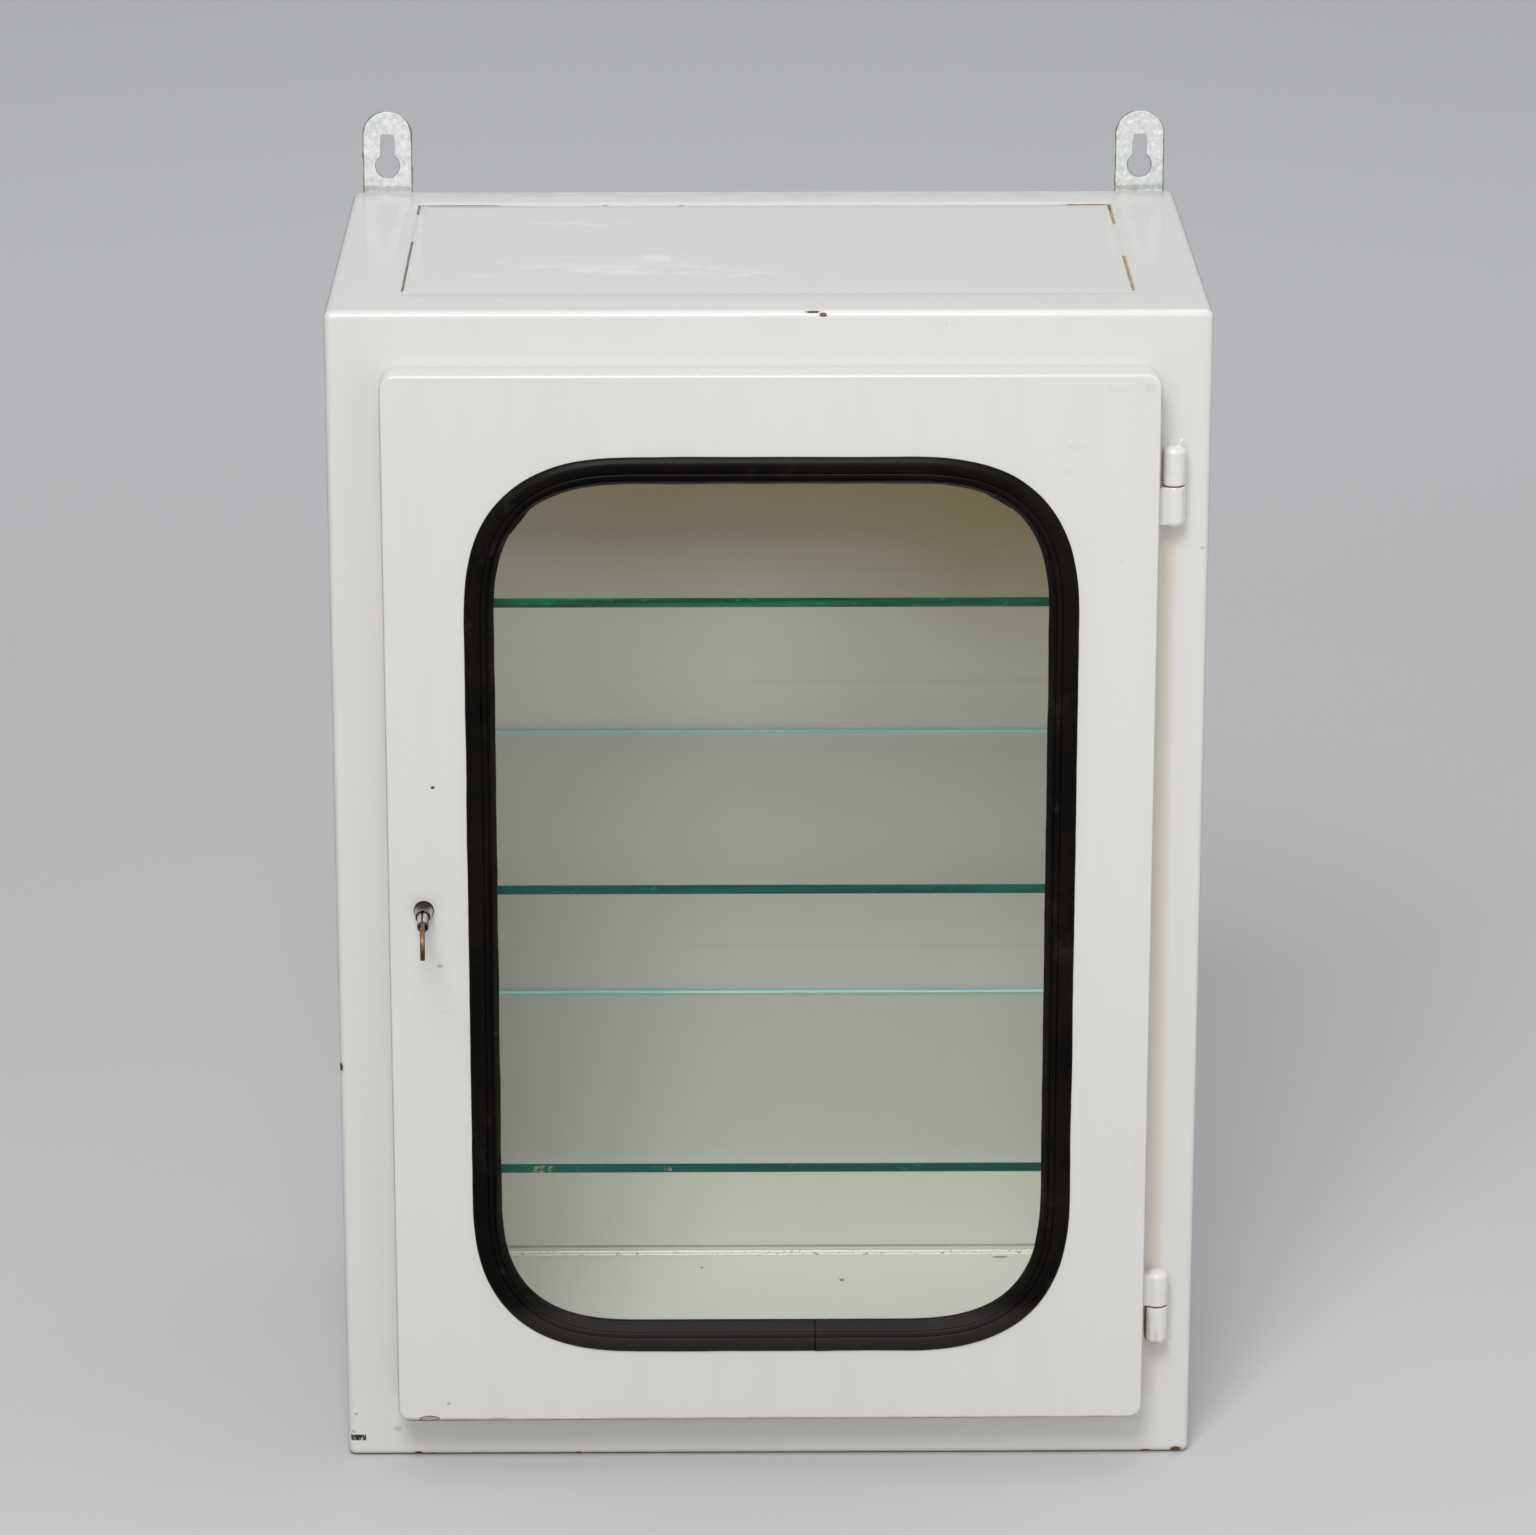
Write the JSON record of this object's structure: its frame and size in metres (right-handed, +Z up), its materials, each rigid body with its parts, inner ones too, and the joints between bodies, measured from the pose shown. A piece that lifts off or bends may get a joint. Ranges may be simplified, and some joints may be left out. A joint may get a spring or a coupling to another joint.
{
  "type": "medicine cabinet",
  "caption": "Wall-hung white steel medicine cabinet with a glazed lockable door, glass shelves and keyhole hanging lugs.",
  "frame": {"origin": "middle of the underside of the carcass, without door, lugs and key", "axes": "+Z up, -Y out of the door side, +X to the right of someone who faces the door"},
  "size_m": [0.5, 0.4033, 0.747],
  "materials": {
    "white_enamel": "glossy off-white enamel, chipped at the edges",
    "window_glass": "clear polished",
    "shelf_glass": "clear, green at the ground edges",
    "black_rubber": "satin black, slightly aged",
    "dull_steel": "dull, worn",
    "aged_brass": "aged, brown"
  },
  "bodies": {
    "cabinet": {"carcass_shell": "white_enamel", "top_panel": "white_enamel", "back_panel": "white_enamel", "left_hanging_lug": "white_enamel", "right_hanging_lug": "white_enamel", "lower_shelf_left_rail": "white_enamel", "lower_shelf_right_rail": "white_enamel", "middle_shelf_left_rail": "white_enamel", "middle_shelf_right_rail": "white_enamel", "upper_shelf_left_rail": "white_enamel", "upper_shelf_right_rail": "white_enamel", "upper_frame_knuckle": "white_enamel", "lower_frame_knuckle": "white_enamel", "upper_hinge_pin": "dull_steel", "lower_hinge_pin": "dull_steel"},
    "door": {"door_pan": "white_enamel", "door_glass": "window_glass", "window_seal": "black_rubber", "seal_filler_strip": "black_rubber", "upper_door_knuckle": "white_enamel", "lower_door_knuckle": "white_enamel", "lock_nose": "dull_steel", "lock_nut": "dull_steel"},
    "lock": {"lock_spindle": "dull_steel", "retaining_clip": "dull_steel", "lock_cam": "dull_steel", "cam_screw": "dull_steel"},
    "key": {"key_tube": "dull_steel", "key_bow": "aged_brass"},
    "lower_shelf": {"lower_shelf": "shelf_glass"},
    "middle_shelf": {"middle_shelf": "shelf_glass"},
    "upper_shelf": {"upper_shelf": "shelf_glass"}
  },
  "joints": [
    {"name": "door_swing", "type": "hinge", "parent": "cabinet", "child": "door", "pos_m": [0.2293, -0.165, 0.349], "axis": [0, 0, 1], "range_deg": [0, 150]},
    {"name": "key_turn", "type": "hinge", "parent": "door", "child": "lock", "pos_m": [-0.1982, -0.1795, 0.351], "axis": [0, 1, 0], "range_deg": [0, 90]},
    {"name": "key_pull", "type": "slide", "parent": "lock", "child": "key", "axis": [0, -1, 0], "range_m": [0, 0.03]},
    {"name": "lower_shelf_lift", "type": "slide", "parent": "cabinet", "child": "lower_shelf", "axis": [0, 0, 1], "range_m": [0, 0.02]},
    {"name": "middle_shelf_lift", "type": "slide", "parent": "cabinet", "child": "middle_shelf", "axis": [0, 0, 1], "range_m": [0, 0.02]},
    {"name": "upper_shelf_lift", "type": "slide", "parent": "cabinet", "child": "upper_shelf", "axis": [0, 0, 1], "range_m": [0, 0.02]}
  ]
}
